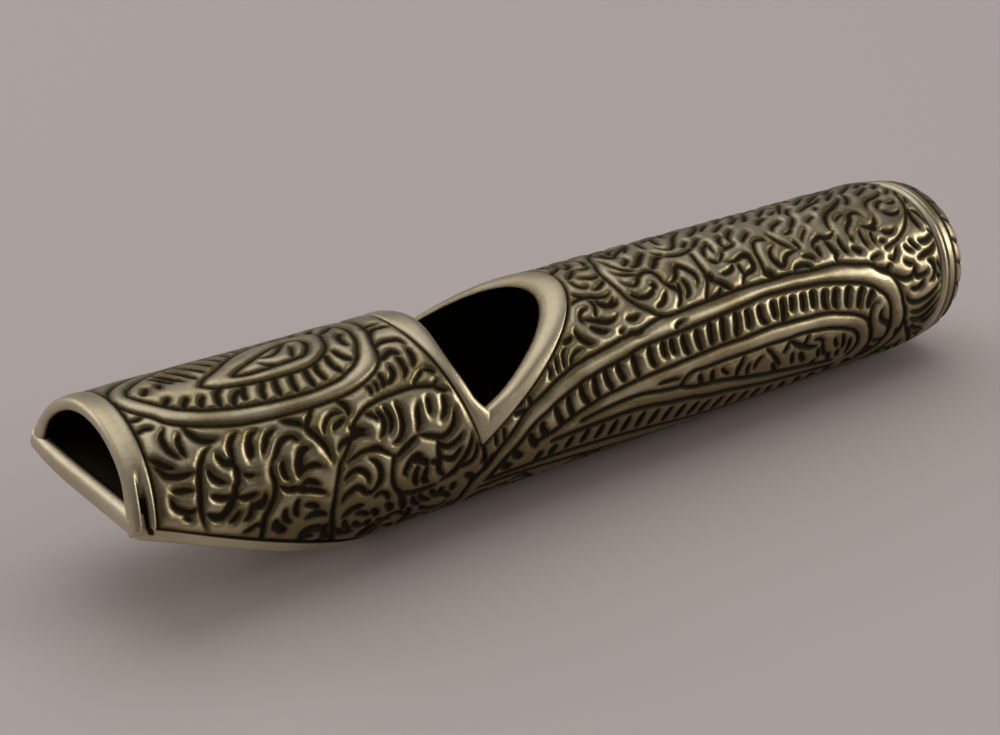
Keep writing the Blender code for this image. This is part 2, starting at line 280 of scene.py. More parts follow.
barrelNearWindow = """
358,1 363,-2 365,-6 364,-10 362,-12 | 377,4 378,0 379,-4 | 387,6 388,1 388,-2 | T 400,11 408,11 415,12 |
405,14 410,16 414,17 | T 420,19 421,16 422,13 | 374,-8 373,-13 368,-17 360,-20 | 450,31.5 452,28 449,24 |
462,35 461,30 460,26 | 477,38 472,35 470,31 469,27 | 495,35 487,34 480,31 477,27 | T 477,41 483,41.5 490,43
"""
sidePaisley = """
B 355,-25 362,-20 370,-16 376,-11 382,-7 390,-3 400,2 410,8 420,12.5 430,15 440,17.5 450,20.5 460,23
470,25 480,27 490,28 500,29.3 510,30 520,31 535,32.3 545,33.5 560,34.5 575,35.5 590,37.5 605,39 615,38.5
630,38.8 650,39.5 670,40 690,40.5 710,41.2 730,41.5 750,41.3 770,41 795,41 810,40 830,39.2 850,39 860,38.7
870,38 880,36.7 890,35 900,33.8 905,33.3 915,31 920,28.5 930,25 940,22 945,18.5 950,14 953,10 956,6 958,2
962,-3 965,-8 966,-16 963,-25 955,-34 940,-41 915,-47 880,-51 840,-53.5 790,-55 740,-54.5 690,-52.5
640,-49.5 590,-45.5 540,-41 490,-37 440,-34 400,-33 372,-34 | B 376,-28 380,-24 386,-19 392,-15 400,-11
410,-6 420,-0.5 430,3.5 440,6 450,9 460,11.5 470,13.5 480,15.5 490,17.5 500,18.5 510,19.8 530,21.5 550,23.5
560,25 580,26.5 600,27 620,27.5 640,28.2 660,29 680,29.8 700,30.7 720,31.7 750,33 770,32.5 790,32 810,31
830,30 850,28 860,26.8 875,25 890,22.5 900,20.5 910,17.5 920,13.5 928,10 934,5.5 938,0 940,-6 942,-11
943,-16 941,-24 932,-32 915,-38 890,-42 850,-45 800,-46.5 750,-46 700,-43.5 650,-39.5 600,-34.5 550,-30.5
500,-28 450,-27 410,-27.5 376,-28 | 617,30 622,32 630,33 | R 402,-12 406,-15 412,-17 | R 390,-18 395,-21
401,-22.5 | R 420,-4 424,-9 430,-13 | R 434,1 436,-4 442,-8 | R 451,8 453,4 456,0 460,-4 | R 468,12 468,8
470,3 474,-1.5 | R 484,15.5 485,11 488,7 494,3 | R 502,18 502,14 503,9 507,5 | R 516,20 517,16 520,11 525,7
| R 534,21 534,17.5 537,13 540,9.5 | R 554,24 555,19 557,13 560,9 | R 578,25 577,20 579,15 582,12 | R 596,25
595,20 597,16 | R 608,25 607,20 610,16 | R 624,25.5 623,21 625,16 628,13 | R 643,26 642,21 644,16 646,13 | R
663,28 661,23 661,18 661,14 | R 681,29 679,23 678,17 678,14 | R 700,29 699,23 697,17.5 697,14 | R 716,28
716,22 715,17 | R 735,28 734,23 736,19 742,16.5 | R 754,28 754,23 755,18 | R 769,28 768,23 767,18 766,14 | R
783,27 782,23 780,19.5 | R 799,27 798,22 797,17 | R 814,27 813,22 813,17 | R 833,25 830,21 830,16 833,13.5 |
R 850,24 847,20 845,16 848,12 | R 872,23 867,19 865,14 865,10 | R 893,20 887,16 884,11 883,7 | R 908,16
904,13 900,9 899,5 | B 430,-10 440,-8.5 450,-7 460,-4.5 470,-2.5 480,-0.5 490,1 500,2.5 510,4 530,5.5 550,7
580,8.3 600,9 620,9.8 640,10.5 660,11.3 680,11.7 710,11.8 730,12.5 750,13 770,12.5 790,12 800,11.5 820,11
840,9.5 850,8 860,6.5 870,5 880,3 890,0.5 897,-2 903,-5 908,-9 912,-14 915,-19 916,-25 912,-31 | B 485,-6.5
500,-5 520,-3.5 540,-2.5 560,-2.3 580,-3.6 590,-4.5 600,-5.2 610,-5.8 617,-6 625,-7.5 635,-9 650,-10 670,-11
685,-12.5 700,-14 710,-15.5 730,-17.5 750,-19.5 770,-21 790,-23 810,-24.5 835,-27 858,-29 | B 617,-5.5
620,-3.5 625,-0.5 632,1 650,1.2 670,1.8 690,2 710,2 750,2.3 770,2 790,2.3 805,2 820,1 840,-0.5 850,-2
860,-3.5 870,-5.5 880,-8 887,-11.5 891,-15 893,-19 892,-24 886,-29 | 585,0.5 600,0.5 615,0 | B 450,-13.5
480,-12.5 500,-12 530,-11.5 560,-11.5 580,-12.7 590,-13.5 605,-15 620,-16 640,-17.5 650,-19 670,-21 690,-22
710,-24 730,-26 750,-28 780,-30 810,-32 840,-34 870,-36 | T 438,-19 437,-22 434,-25 | T 456,-18 454,-21
452,-24 | T 477,-16 474,-20 472,-23 | T 497,-14.5 494,-19 492,-23 | T 516,-14.5 514,-19 511,-24 | T 534,-15
532,-20 530,-25 | T 552,-15.5 550,-20 548,-26 | T 572,-16 569,-21 568,-27 | T 592,-18 589,-23 587,-29 | T
612,-20 609,-25 608,-31 | T 632,-22 629,-27 628,-33 | T 652,-24 649,-29 648,-35 | T 670,-26 667,-31 667,-37
| T 690,-27 688,-33 688,-39 | T 710,-29 709,-35 710,-40 | T 730,-31 730,-36 731,-41 | T 750,-33 751,-38
753,-43 | T 771,-35 773,-39 776,-43 | T 792,-36 795,-40 799,-44 | T 815,-37 819,-40 823,-43.5 | T 838,-38
842,-41 847,-43 | T 862,-38.5 867,-40.5 872,-42 | T 887,-35 895,-37.5 902,-38 | T 905,-34 915,-34 924,-32 |
T 643,-2 645,-5 648,-8.5 | T 662,-2 662,-6 665,-9.5 | 675,-3 680,-6 686,-8 | T 707,0 704,-4 700,-8 700,-12 |
717,-6 715,-10 716,-13 | 735,-4 728,-7 725,-11 | 740,0 747,-3 754,-7 760,-11 766,-15 | 753,-12 758,-16
762,-19 | 775,-0.5 772,-4 768,-7 | T 775,0 782,-2 790,-5 800,-7.5 810,-9.5 820,-10 | 805,0 802,-4 798,-7 |
783,-9 784,-13 787,-17 | T 795,-11 800,-15 806,-19 | 815,-5 825,-6 832,-9 | 825,-13 828,-17 830,-20 |
830,-10 835,-16 840,-20 | 850,-9 853,-13 857,-16 | 845,-19 848,-23 852,-26 | 862,-8 866,-13 868,-19 |
876,-13 879,-19 878,-25 | 861,-20 864,-25 | 820,-25 825,-22 | T 902,-1 904,-5 907,-10 | 915,7 908,6 905,3
905,-2 907,-8 910,-13 912,-18 | T 924,1 922,-2 924,-6 930,-9 937,-11 940,-15 | 921,-22 928,-24 937,-24 |
920,-29 926,-30
"""
barrelField = """
T 497,47 497,43 500,40 506,37 512,35.5 | T 515,46 520,43.5 527,41 535,40 | T 513,51 520,49.5 528,47.5
538,45.5 548,46 553,47.5 | 525,57 517,56.5 512,54 510,50.5 513,48.5 | 533,62 535,58 532,54 528,50 | T 540,61
542,57 548,55 555,56 560,59 | 550,53.5 557,54 563,56 | 510,62 518,64 525,64.5 535,64 545,62 555,61.5 562,63
| 520,69 524,67 530,65 | T 547,68 553,68.5 560,70.3 567,72.5 | 533,80 533,76 536,73 540,71.5 546,72 | T
533,82 538,84 545,87 553,91 | T 545,80 550,79.5 555,78 562,77.5 568,79 | 555,90 560,88.5 568,88.5 573,91 | T
523,90 530,94 540,97 550,102 | T 562,44 570,43 578,43.5 | T 557,36 565,34.5 572,34.5 580,36 | 548,37.5
552,38 | B 612,116 606,110 595,105 588,100 583,95 580,90 575,85 572,80 571,75 572,68 574,62 576,56 580,52
586,48 593,45 600,41.5 607,39.5 | T 584,67 588,64.5 595,63 601,64.5 606,67.5 611,69.5 620,70.5 627,68.5
630,64 630,59 633,56 | T 614,60.5 617,59 616,57 | T 585,55 592,54 600,53.5 607,54.5 612,56.5 616,58 | 583,58
586,56 590,54.5 | T 605,45.5 615,47 620,49.5 625,53 | 630,41.5 636,44 640,48 641,52 638,54 | B 690,74 688,68
687,62 686,57 683,52 677,47 672,43 670,41 | T 635,58 642,58.5 650,61.5 655,65.5 660,68 666,65.5 670,62
673,58 672,54 667,51 | T 653,58 655,54 654,50 650,47 646,45.5 | 645,56 644,52 642,48 | W 631,70.8 640,75
647,78.5 656,79.3 | T 657,78.7 666,77.5 675,76.5 686,77 694,78 700,79.5 | 675,41.5 682,41.5 690,43 695,46 |
T 690,51 697,48.5 703,45 708,42.5 | T 605,80 610,82 615,84 618,87 | W 611,76.8 618,77.5 625,80 632,83.5
640,87 644,89 | 590,92 591,87 593,82 597,78 604,75 612,73.5 | 585,76.5 590,73.5 597,72 604,71 609,69.5 |
652,84 655,82 660,81 | T 665,89 669,85.5 675,84 682,85.5 688,89 696,94 704,98.5 714,103 726,107.5 | T 690,82
697,84.5 704,87.5 | T 703,68 705,72 710,75.5 720,79 | 703,66 706,63.5 712,62 | T 699,79 708,82 716,85.5
722,87.5 | T 705,54 712,53.5 717,54 723,55.5 727,58 | 713,62 718,64 724,67 728,70 | T 720,61.5 730,60
738,60.5 745,62 750,62.5 754,60 753,56.5 752,53 747,50.5 738,49.5 732,48 727,44.5 722,42.5 | 733,57 733,53
733,50 | B 790,69 786,70 780,70.5 775,69.5 770,66 766,61 764,55 762,50 761,46 763,43.5 | T 762,72 768,74.5
775,77 782,79.5 | T 750,74 752,79 757,82 763,84.5 770,87.5 | T 735,72 736,76 740,80 747,83 | 710,75 717,78
723,80.5 | T 710,83 715,85 | T 795,62.5 788,61 783,58 781,54 783,50 788,47.5 793,48.5 797,51 803,53.5
810,54.5 817,55 822,55 | 765,44 770,42 780,41.3 795,41.5 | T 800,42 806,44 813,44.5 820,43.5 827,41.5 |
800,72 802,68 805,64 810,60 815,57 | 823,62 825,58 825,55 | 822,50 830,48.5 837,45.5 | T 843,52 845,55
850,57.5 856,58.5 860,59.5 866,58 872,57.5 880,58.5 885,60 | T 848,53 847,49 848,46.5 | 835,60 840,63 847,66
853,68.5 | T 836,72 842,74.5 850,78 856,82 | T 821,68.5 830,69.5 837,72 | T 811,74 815,76.5 821,78.7 828,80
836,81.5 | T 804,83.5 812,86.5 820,88.5 827,90 | T 780,93.5 790,97 800,101 | T 738,94 746,98.5 755,102
766,105.5 | T 865,57 866,52 868,47 870,45 866,42 866,39 | T 884,55 883,50 884,46 887,43 | T 895,46 900,43.5
907,41 | 902,53 903,50 | T 902,54 903,57 908,60.5 915,63 920,65.5 925,69 932,70.5 938,69 941,66 | 900,67.5
906,69.5 912,71 920,71.5 | W 883,62 885,66 890,71 897,75 905,77.5 915,79.5 925,82 935,85 944,88.5 | 920,56
918,51 918,47 920,43.5 | 935,53 932,48 933,44 | T 928,59 933,57 940,56 947,57 952,59.5 955,63 | T 936,55
941,54 947,54.5 | 940,45 947,43.5 | T 950,51 958,49 965,48.5 970,49.5 | B 945,39.5 955,40.5 965,42 975,44.5
983,47 990,50 997,54 1003,58 1008,62 1012,66 1015,71 1017,77 | T 957,70 960,73 965,76 973,78 983,78.7 992,80
1001,82.5 | T 970,67 975,71 982,73.3 988,73 | T 972,65 977,62 984,60.5 992,60.5 998,62 | T 990,70.5 997,69.5
1004,70.5 | T 1010,61 1007,56 1007,50 1010,45 | T 1013,60 1019,57 1024,52 1027,48 | T 997,38 1003,36.5
1010,36.5 1017,37.5 1026,39.5 | 972,37 976,34.5 982,32.5 | 983,40 987,36 993,33 | T 988,26.5 1000,28 1010,29
1018,31 1026,33.5 | 915,34.5 920,35.5 930,36.5 | T 922,29 927,26.5 935,26 942,28.5 | 943,32.5 950,31 956,34
960,38 | 965,28 970,25.5 978,24 | T 945,22 950,19 957,17 965,16 972,16.5 978,19 980,23 | T 980,23 979,19
981,16 990,15 997,16 1000,17.5 | T 1003,24 1010,21 1013,16 1010,11.5 1003,9.5 | T 970,9 977,7.5 985,8 990,10
992,12 | T 962,6 966,2 973,-1 982,-2.5 993,-2 1003,-0.5 1013,2.5 1025,7 | 958,-19 960,-23 | 975,-20 985,-26
995,-33 1003,-39 | T 975,-8 984,-10 995,-9.5 1010,-5 1024,0 | T 978,-14 988,-16.5 1000,-16 1014,-11 1027,-6
| 985,-21 995,-25 1008,-27 | 967,-14 973,-18 | T 1000,-20 1010,-20 1020,-16.5 1027,-13 | T 631,59 635,55.5
640,52.5 643,50 | T 686,56 687,53 689,50.5 | T 758,46.5 764,45 770,42.5 | W 747,62 750,61.5 | W 655,66.5
660,68 665,65 | W 684,55 688,54.5 691,52 | W 763,46.5 766,44.5 770,43 | T 628,94 636,99 644,104 652,110 | T
652,92 655,97 660,104 667,110 | T 672,92 676,98 681,104 687,110 | T 848,89 855,92.5 862,97 871,102 881,108 |
T 855,83 857,87 863,90.5 871,93.5 | T 797,91.5 806,95.5 813,100 822,106 | T 748,89 757,92 766,95 776,99 |
718,70 719,74 722,78 | T 730,69.5 736,71 744,71.5 752,73.5 | 768,101 778,104.5 792,109 | T 608,91 616,95
625,98.5 634,102 645,107 | T 716,92 724,95 733,98 742,102 752,107 | T 822,93 832,97 842,101 853,106 | 836,91
845,93.5 853,96 | T 884,95 895,99 908,104 920,108 | T 872,85 882,87.5 892,89.5 903,91 914,92.5 925,96 | T
902,93.5 912,97 925,101 938,105 | T 925,89 935,93 945,97 956,101 | T 938,79 945,81.5 951,85.5 956,90 | T
955,93 966,96.5 978,100.5 990,105 1002,109 | T 968,85 977,88 987,90.5 998,94 | T 940,100 952,104 965,108 | T
985,96 996,99.5 1008,104 | T 1000,88 1009,91 1017,95 | T 1003,97 1012,101 1020,106 | 1003,78.5 1010,80.5
1018,84 | 893,82.5 900,85 | 864,73 872,75.5 880,77 | T 1017,66 1022,69 1028,73 | T 1018,76 1023,79 1028,83 |
T 1020,86.5 1025,89.5 1029,93 | T 1021,98 1026,102 1030,106 | T 1019,21 1024,17 1027,13 | 1021,43 1026,41
1028,38 | T 1017,13 1021,10.5 1026,10
"""

carveText(upperPaisley)
for drawing in (mouthpieceSide, barrelNearWindow, sidePaisley, barrelField):
    carveText(drawing, mirrored=True)


# leaf fill: size and spread of the small cuts, scroll centres and edges of the fields, in radii and degrees
leafFill = {
    "step": 0.070,
    "length": 0.25,
    "half": 0.010,
    "spread": (0.7, 1.5),
    "turn": 14,
    "jitter": 0.3,
    "bulge": 0.35,
    "clearMiddle": 0.050,
    "clearEnds": 0.030,
    "soleMargin": 4,
    "beakFront": -19,
    "beakStep": 3.1,
    "beakRear": -25,
    "topCentres": (
        (5.30, 50), (5.45, 74), (6.13, 59), (6.60, 60), (6.25, 84), (6.75, 90), (7.40, 56), (7.15, 84),
        (7.93, 56), (7.65, 87), (8.15, 80), (8.60, 52), (8.45, 73), (8.65, 92), (9.30, 63), (9.15, 84),
        (9.60, 94), (9.85, 67), (10.1, 50), (9.85, 22), (10.1, 88), (9.90, -8), (9.95, -40), (9.9, -75),
    ),
    "underCentres": tuple((4.0 + 0.55 * k, -90 + 17 * (-1) ** k) for k in range(11)),
    "endCentres": ((9.95, -40), (9.9, -75), (9.9, -105), (9.95, -140)),
    "beakCentres": ((2.25, -24), (2.70, -33), (3.20, -30), (2.95, -55), (3.30, -72), (2.60, -48)),
    "upperEdge": ((4.9, 98), (9.9, 98), (10.1, 92), (10.2, 90), (10.3, 88)),
    "lowerEdge": (
        (3.7, -37), (4.4, -37), (4.9, -40), (5.4, -44), (5.9, -48.5), (6.4, -52.5), (6.9, -55.5),
        (7.4, -57.5), (7.9, -58), (8.4, -56.5), (8.8, -54), (9.15, -50), (9.4, -44), (9.55, -37),
        (9.63, -28), (9.7, -5),
    ),
}


def plainAt(along, angle):
    i = int((along - alongStart) / relief["cell"])
    j = int(round((angle - roundStart) / roundStep)) % roundCount
    return clear[min(max(i, 0), alongCount - 1), j]


def fillLeaves(first, last, lowAt, highAt, centres, seed):
    # small leaf cuts that turn round the scroll centres, wherever the sheet is still plain
    dice = np.random.default_rng(seed)
    step, jitter = leafFill["step"], leafFill["jitter"]
    middles = np.array([(a, math.radians(b)) for a, b in centres])
    for along in np.arange(first, last, step):
        low, high = math.radians(lowAt(along)), math.radians(highAt(along))
        for angle in np.arange(low, high, step):
            spot = np.array([along, angle]) + dice.uniform(-jitter, jitter, 2) * step
            away = spot - middles
            near = away[np.argmin((away**2).sum(axis=1))]
            heading = math.atan2(near[1], near[0]) + math.pi / 2 + math.radians(leafFill["turn"])
            ahead = np.array([math.cos(heading), math.sin(heading)]) * leafFill["length"] / 2
            bulge = np.array([-ahead[1], ahead[0]]) * leafFill["bulge"]
            ends = (spot - ahead + bulge, spot + ahead + bulge)
            if plainAt(*spot) < leafFill["clearMiddle"]:
                continue
            if min(plainAt(*ends[0]), plainAt(*ends[1])) < leafFill["clearEnds"]:
                continue
            carve([ends[0], spot, ends[1]], leafFill["half"] * dice.uniform(*leafFill["spread"]))


def edgeAt(name):
    knots = np.array(leafFill[name])
    return lambda along: np.interp(along, knots[:, 0], knots[:, 1])


upperEdge, lowerEdge = edgeAt("upperEdge"), edgeAt("lowerEdge")


def soleEdge(along):
    start, slope = planes["soleSeam"]
    return math.degrees(math.asin(max(-1.0, min(1.0, (along - start) / slope)))) + leafFill["soleMargin"]


def beakEdge(along):
    return leafFill["beakFront"] if along < leafFill["beakStep"] else leafFill["beakRear"]


def farSide(centres):
    return tuple((a, 180 - b) for a, b in centres)


def groove(along, turns, half):
    stamp(np.stack(np.broadcast_arrays(along, turns), axis=1), np.full(len(turns), half))


def followPlane(name, first, last):
    # a groove where a plane meets the tube
    turns = np.radians(np.linspace(first, last, 120))
    along = onPlane(name, np.sin(turns))
    if name == "frontGroove":
        along = along + flankBow(turns)
    groove(along, turns, relief["groove"])


# the line between mouthpiece and chamber, below the window's point
seamLine = {
    "degrees": (-90, -32, -25, -20, -17, -14, -10, -6, -3, windowPoint),
    "along": (3.52, 3.53, 3.56, 3.62, 3.67, 3.68, 3.665, 3.65, 3.64, 3.625),
}


def seamAlong(turns):
    return np.interp(foldOver(turns), seamLine["degrees"], seamLine["along"])


followPlane("bandRear", 10, 170)
followPlane("soleSeam", -90, 16)
followPlane("soleSeam", 164, 270)
followPlane("frontGroove", windowPoint, 180 - windowPoint)
followPlane("rearGroove", windowPoint, 180 - windowPoint)
for first, last in ((-90, windowPoint), (180 - windowPoint, 270)):
    turns = np.radians(np.linspace(first, last, 90))
    groove(seamAlong(turns), turns, relief["groove"])
groove(tube["end"], np.radians(np.linspace(-90, 270, 300)), -relief["tip"])

topCentres, beakCentres = leafFill["topCentres"], leafFill["beakCentres"]
fillLeaves(5.36, 10.27, upperEdge, lambda a: 120, topCentres + farSide(topCentres), 4)
fillLeaves(3.75, 9.66, lambda a: -180 - lowerEdge(a), lowerEdge, leafFill["underCentres"], 5)
fillLeaves(9.70, 10.27, lambda a: -162, lambda a: -18, leafFill["endCentres"], 8)
fillLeaves(1.9, 3.5, soleEdge, beakEdge, beakCentres, 6)
fillLeaves(1.9, 3.5, lambda a: 180 - beakEdge(a), lambda a: 180 - soleEdge(a), farSide(beakCentres), 7)


def soften(grid, times):
    # takes the edge off the crests; the map closes on itself round the tube
    for n in range(times):
        grid = 0.5 * grid + 0.25 * (np.roll(grid, 1, axis=1) + np.roll(grid, -1, axis=1))
        grid[1:-1] = 0.5 * grid[1:-1] + 0.25 * (grid[2:] + grid[:-2])
    return grid


def bell(gap, reach):
    # from 1 at the edge of a cut down to 0 at its reach
    return 0.5 + 0.5 * np.cos(np.pi * np.clip(gap / reach, 0, 1))


def hollow(gap):
    # rounded wall of a cut, then a gentle rise to the crest between two cuts
    share = relief["wallShare"]
    return share * bell(gap, relief["wall"]) + (1 - share) * bell(gap, relief["crest"])


def stained(gap):
    return np.clip(1.0 - gap / relief["stain"], 0.0, 1.0) ** 2


heightMap = -relief["depth"] * soften(hollow(clear), relief["soften"])
stainMap = soften(stained(clear), relief["stainSoften"])
print("ornament carved:", alongCount, "by", roundCount, "cells")


def readMap(grid, along, turn):
    a = np.clip((along - alongStart) / relief["cell"], 0, alongCount - 1.001)
    b = ((turn - roundStart) / roundStep) % roundCount
    i = a.astype(int)
    j = b.astype(int)
    fa, fb = a - i, b - j
    j, k = j % roundCount, (j + 1) % roundCount
    low = grid[i, j] * (1 - fb) + grid[i, k] * fb
    high = grid[i + 1, j] * (1 - fb) + grid[i + 1, k] * fb
    return low * (1 - fa) + high * fa


def sweep(name, grid, sunk, slots, creases=(), closeRows=True, closeColumns=True, faceSlot=None):
    # one mesh from a table of points: rows go round, columns across; open rows are capped at both ends
    rows, columns = grid.shape[:2]
    index = np.arange(rows * columns).reshape(rows, columns)
    rowHere, rowNext = index[:-1], index[1:]
    caps = [index[0], index[-1][::-1]]
    if closeRows:
        rowHere, rowNext = index, np.roll(index, -1, axis=0)
        caps = []
    a, b = rowHere, rowNext
    c, d = np.roll(rowNext, -1, axis=1), np.roll(rowHere, -1, axis=1)
    if not closeColumns:
        a, b, c, d = (corners[:, :-1] for corners in (a, b, c, d))
    faces = np.stack([a, b, c, d], axis=-1).reshape(-1, 4)
    points = grid.reshape(-1, 3)
    corner = points[faces]
    normals = np.cross(corner[:, 2] - corner[:, 0], corner[:, 3] - corner[:, 1])
    insideOut = ((corner[:, 0] - points.mean(axis=0)) * normals).sum() < 0
    # unrolled map for baking
    across = np.linspace(0.002, 0.998, a.shape[1] + 1)
    up = np.linspace(0.002, 0.998, a.shape[0] + 1)
    u0, v0 = np.meshgrid(across[:-1], up[:-1])
    u1, v1 = np.meshgrid(across[1:], up[1:])
    spots = np.stack([np.stack([u0, u0, u1, u1], -1), np.stack([v0, v1, v1, v0], -1)], -1).reshape(-1, 4, 2)
    if insideOut:
        faces, spots = faces[:, ::-1], spots[:, ::-1]
        caps = [ring[::-1] for ring in caps]
    loops = faces.reshape(-1)
    starts = np.arange(len(faces)) * 4
    for ring in caps:
        starts = np.append(starts, len(loops))
        loops = np.append(loops, ring)
    spots = spots.reshape(-1, 2)
    spots = np.concatenate([spots, np.full((len(loops) - len(spots), 2), 0.5)])
    mesh = bpy.data.meshes.new(name)
    mesh.vertices.add(len(points))
    mesh.vertices.foreach_set("co", points.astype(np.float32).ravel())
    mesh.loops.add(len(loops))
    mesh.loops.foreach_set("vertex_index", loops.astype(np.int32))
    mesh.polygons.add(len(starts))
    mesh.polygons.foreach_set("loop_start", starts.astype(np.int32))
    layer = mesh.attributes.new("sunk", "FLOAT", "POINT")
    layer.data.foreach_set("value", sunk.astype(np.float32).ravel())
    mesh.update(calc_edges=True)
    mesh.polygons.foreach_set("use_smooth", np.ones(len(starts), dtype=bool))
    if faceSlot is not None:
        cells = np.broadcast_to(faceSlot, a.shape).ravel()
        mesh.polygons.foreach_set("material_index", cells.astype(np.int32))
    uv = mesh.uv_layers.new(name="OFBake")
    uv.uv.foreach_set("vector", spots.astype(np.float32).ravel())
    if creases:
        ends = np.empty(len(mesh.edges) * 2, dtype=np.int32)
        mesh.edges.foreach_get("vertices", ends)
        column = ends.reshape(-1, 2) % columns
        sharp = (column[:, 0] == column[:, 1]) & np.isin(column[:, 0], creases)
        mark = mesh.attributes.new("sharp_edge", "BOOLEAN", "EDGE")
        mark.data.foreach_set("value", sharp)
    mesh.validate()
    for slotMaterial in slots:
        mesh.materials.append(slotMaterial)
    obj = bpy.data.objects.new(name, mesh)
    bpy.context.scene.collection.objects.link(obj)
    return obj


def seat(piece, node):
    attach(piece, "root")
    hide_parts(node)


# finishes: colours, how much of the surface has aged, roughness where it is smooth, painted shade on the low
# side
oxide = (0.014, 0.009, 0.002, 1)
chasedFinish = {
    "Bright": (0.485, 0.425, 0.292, 1),
    "Aged": (0.200, 0.155, 0.072, 1),
    "Oxide": oxide,
    "Ageing": 0.70,
    "Smooth": 0.34,
    "LowSideShade": 0.85,
}
plainFinish = {
    "Bright": (0.55, 0.482, 0.338, 1),
    "Aged": (0.36, 0.304, 0.191, 1),
    "Oxide": oxide,
    "Ageing": 0.45,
    "Smooth": 0.38,
    "LowSideShade": 0.0,
}
# painted shade: the inside of the tube and the stop wall, coloured nearly black
boreShadeFinish = {
    "Bright": (0.010, 0.008, 0.006, 1),
    "Aged": (0.012, 0.010, 0.007, 1),
    "Oxide": oxide,
    "Ageing": 0.8,
    "Smooth": 0.5,
    "LowSideShade": 0.0,
}
# what the finishes share: scales of the noise, world heights where the painted shade on the low side starts
# and is full, then how much each effect does
patina = {
    "cloud": 420.0,
    "speck": 5200.0,
    "grit": 14000.0,
    "scratch": (900.0, 7000.0, 7000.0),
    "scratchTurn": (0.0, 0.3, 0.5),
    "lowSideShadeHeights": (0.0062, 0.0034),
    "speckWear": 0.35,
    "lowSideShadeWeight": 0.35,
    "oxideFrom": 0.30,
    "oxideTo": 0.95,
    "sunkAgeing": 0.85,
    "scratchRough": 0.07,
    "oxideRough": 0.30,
    "oxideDull": 0.85,
    "gritHeight": 0.35,
    "scratchHeight": 0.15,
    "speckHeight": 0.6,
    "bumpDistance": 0.00002,
    "specular": 0.10,
}


def makeAgedSilver():
    group = bpy.data.node_groups.new("agedSilver", "ShaderNodeTree")
    inputs = {"Sunk": "Float"}
    for key, value in chasedFinish.items():
        inputs[key] = "Color" if isinstance(value, tuple) else "Float"
    outputs = {"Color": "Color", "Roughness": "Float", "Metallic": "Float", "Height": "Float"}
    for direction, sockets in (("INPUT", inputs), ("OUTPUT", outputs)):
        for key, kind in sockets.items():
            group.interface.new_socket(key, in_out=direction, socket_type="NodeSocket" + kind)
    nodes, links = group.nodes, group.links
    given = nodes.new("NodeGroupInput").outputs
    result = nodes.new("NodeGroupOutput").inputs
    spot = nodes.new("ShaderNodeTexCoord").outputs["Object"]

    def noise(scale, detail, rough, where):
        node = nodes.new("ShaderNodeTexNoise")
        node.inputs["Scale"].default_value = scale
        node.inputs["Detail"].default_value = detail
        node.inputs["Roughness"].default_value = rough
        links.new(where, node.inputs["Vector"])
        return node.outputs["Fac"]

    def calc(kind, a, b):
        node = nodes.new("ShaderNodeMath")
        node.operation = kind
        for socket, value in zip(node.inputs, (a, b)):
            if isinstance(value, (int, float)):
                socket.default_value = value
            else:
                links.new(value, socket)
        return node.outputs[0]

    def add(a, b):
        return calc("ADD", a, b)

    def times(a, b):
        return calc("MULTIPLY", a, b)

    def remap(value, low, high):
        node = nodes.new("ShaderNodeMapRange")
        node.interpolation_type = "SMOOTHSTEP"
        links.new(value, node.inputs["Value"])
        node.inputs["From Min"].default_value = low
        node.inputs["From Max"].default_value = high
        return node.outputs["Result"]

    def blend(factor, a, b):
        node = nodes.new("ShaderNodeMix")
        node.data_type = "RGBA"
        for socket, value in zip((0, 6, 7), (factor, a, b)):
            links.new(value, node.inputs[socket])
        return node.outputs[2]

    cloud = noise(patina["cloud"], 4.0, 0.55, spot)
    speck = noise(patina["speck"], 3.0, 0.6, spot)
    grit = noise(patina["grit"], 2.0, 0.6, spot)
    stretch = nodes.new("ShaderNodeMapping")
    stretch.inputs["Scale"].default_value = patina["scratch"]
    stretch.inputs["Rotation"].default_value = patina["scratchTurn"]
    links.new(spot, stretch.inputs["Vector"])
    scratch = noise(1.0, 3.0, 0.5, stretch.outputs["Vector"])
    # painted shade: the low side is darkened towards the bottom by world height
    parts = nodes.new("ShaderNodeSeparateXYZ")
    links.new(spot, parts.inputs["Vector"])
    low = times(remap(parts.outputs["Z"], *patina["lowSideShadeHeights"]), given["LowSideShade"])
    worn = add(given["Sunk"], times(calc("SUBTRACT", speck, 0.5), patina["speckWear"]))
    # the painted low-side shade also pushes the low side towards the oxide colour
    worn = add(worn, times(low, patina["lowSideShadeWeight"]))
    dark = remap(worn, patina["oxideFrom"], patina["oxideTo"])
    shade = times(remap(cloud, 0.35, 0.70), given["Ageing"])
    shade = add(shade, times(remap(worn, 0.0, 0.50), patina["sunkAgeing"]))
    shade = calc("MINIMUM", add(shade, low), 1.0)
    silver = blend(shade, given["Bright"], given["Aged"])
    links.new(blend(dark, silver, given["Oxide"]), result["Color"])
    rough = add(given["Smooth"], times(remap(scratch, 0.35, 0.75), patina["scratchRough"]))
    links.new(add(rough, times(dark, patina["oxideRough"])), result["Roughness"])
    links.new(calc("SUBTRACT", 1.0, times(dark, patina["oxideDull"])), result["Metallic"])
    height = add(times(grit, patina["gritHeight"]), times(scratch, patina["scratchHeight"]))
    links.new(add(height, times(speck, patina["speckHeight"])), result["Height"])
    return group


agedSilver = makeAgedSilver()


